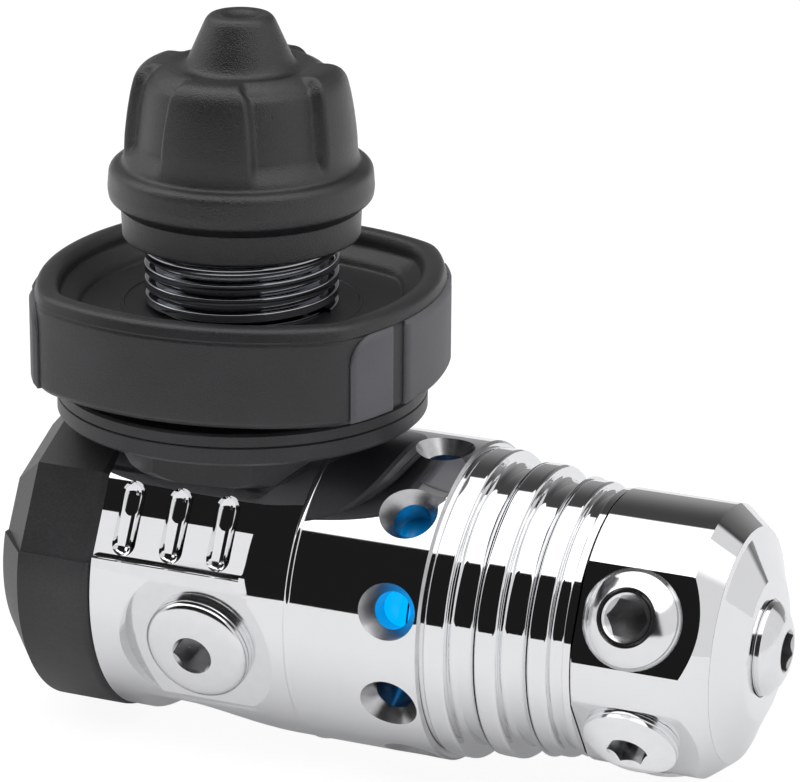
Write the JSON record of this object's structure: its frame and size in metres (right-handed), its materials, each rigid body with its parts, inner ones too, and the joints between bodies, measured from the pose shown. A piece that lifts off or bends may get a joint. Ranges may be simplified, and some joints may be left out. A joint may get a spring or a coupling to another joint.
{
  "type": "scuba regulator first stage",
  "caption": "Balanced piston first stage with a swivel turret, plugged ports, a DIN connector with handwheel and a screw-on dust cap.",
  "frame": {"origin": "on the DIN connector's centre line, at the middle of the reference crest of its thread, the second crest under the cap's edge", "axes": "+Z along the connector towards the cylinder valve, +X along the barrel towards the turret, -Y the front with the fluted flat"},
  "size_m": [0.0937, 0.046, 0.0869],
  "materials": {
    "chromed_brass": "mirror-bright chrome plate on brass",
    "screw_dark_chrome": "dark bright chrome plate",
    "plain_brass": "machined",
    "piston_steel": "fine turned stainless steel",
    "spring_blue": "smooth blue epoxy coat on spring steel",
    "sintered_bronze": "porous sintered bronze",
    "bearing_plastic": "smooth white bearing plastic",
    "seal_rubber": "smooth black rubber",
    "cover_black": "satin moulded plastic",
    "flange_black": "fine-grained moulded plastic",
    "wheel_black": "fine-grained rubber-coated moulding",
    "pad_grey": "matt grey soft rubber",
    "cap_black": "fine-grained moulded plastic"
  },
  "bodies": {
    "body": {"inlet_body": "chromed_brass", "end_cover": "cover_black", "ambient_barrel": "chromed_brass", "barrel_o_ring": "seal_rubber", "turret_bolt": "chromed_brass", "turret_washer": "bearing_plastic", "turret_o_rings": "seal_rubber", "piston_stem_o_ring": "seal_rubber", "stem_bushings": "bearing_plastic", "bushing_retainer": "plain_brass", "main_spring": "spring_blue", "spring_pad": "bearing_plastic", "seat": "bearing_plastic", "seat_carrier": "plain_brass", "seat_carrier_o_ring": "seal_rubber", "seat_spring_washer": "piston_steel", "seat_plug": "plain_brass", "high_pressure_plug_front": "chromed_brass", "high_pressure_plug_rear": "chromed_brass", "high_pressure_o_rings": "seal_rubber", "end_port_plug": "chromed_brass", "end_port_o_ring": "seal_rubber", "inlet_stem": "chromed_brass", "inlet_stem_o_ring": "seal_rubber", "inlet_filter": "sintered_bronze", "filter_ring": "piston_steel", "din_face_o_ring": "seal_rubber", "wheel_flange": "flange_black", "stem_collar": "flange_black"},
    "wheel": {"din_screw": "screw_dark_chrome", "handwheel": "wheel_black", "grip_pads": "pad_grey"},
    "gasket": {"cap_gasket": "seal_rubber"},
    "cap": {"dust_cap": "cap_black"},
    "turret": {"turret": "chromed_brass", "low_pressure_plug_1": "chromed_brass", "low_pressure_plug_2": "chromed_brass", "low_pressure_plug_3": "chromed_brass", "low_pressure_plug_4": "chromed_brass", "low_pressure_o_rings": "seal_rubber"},
    "piston": {"piston": "piston_steel", "piston_head_o_ring": "seal_rubber"}
  },
  "joints": [
    {"name": "wheel_spin", "type": "hinge", "parent": "body", "child": "wheel", "pos_m": [0, 0, 0], "axis": [0, 0, 1], "continuous": true},
    {"name": "cap_lift", "type": "slide", "parent": "wheel", "child": "gasket", "axis": [0, 0, 1], "range_m": [0, 0.01633]},
    {"name": "cap_turn", "type": "hinge", "parent": "gasket", "child": "cap", "pos_m": [0, 0, 0], "axis": [0, 0, 1], "range_deg": [0, 3240]},
    {"name": "turret_spin", "type": "hinge", "parent": "body", "child": "turret", "pos_m": [0.05445, 0, -0.03834], "axis": [1, 0, 0], "continuous": true},
    {"name": "piston_slide", "type": "slide", "parent": "body", "child": "piston", "axis": [1, 0, 0], "range_m": [-0.0009, 0], "stiffness_N_per_m": 2000, "springref_m": 0.002, "deforming": ["main_spring"]}
  ],
  "couplings": [
    {"joint": "cap_turn", "follows": "cap_lift", "rad_per_m": 3463.4}
  ]
}
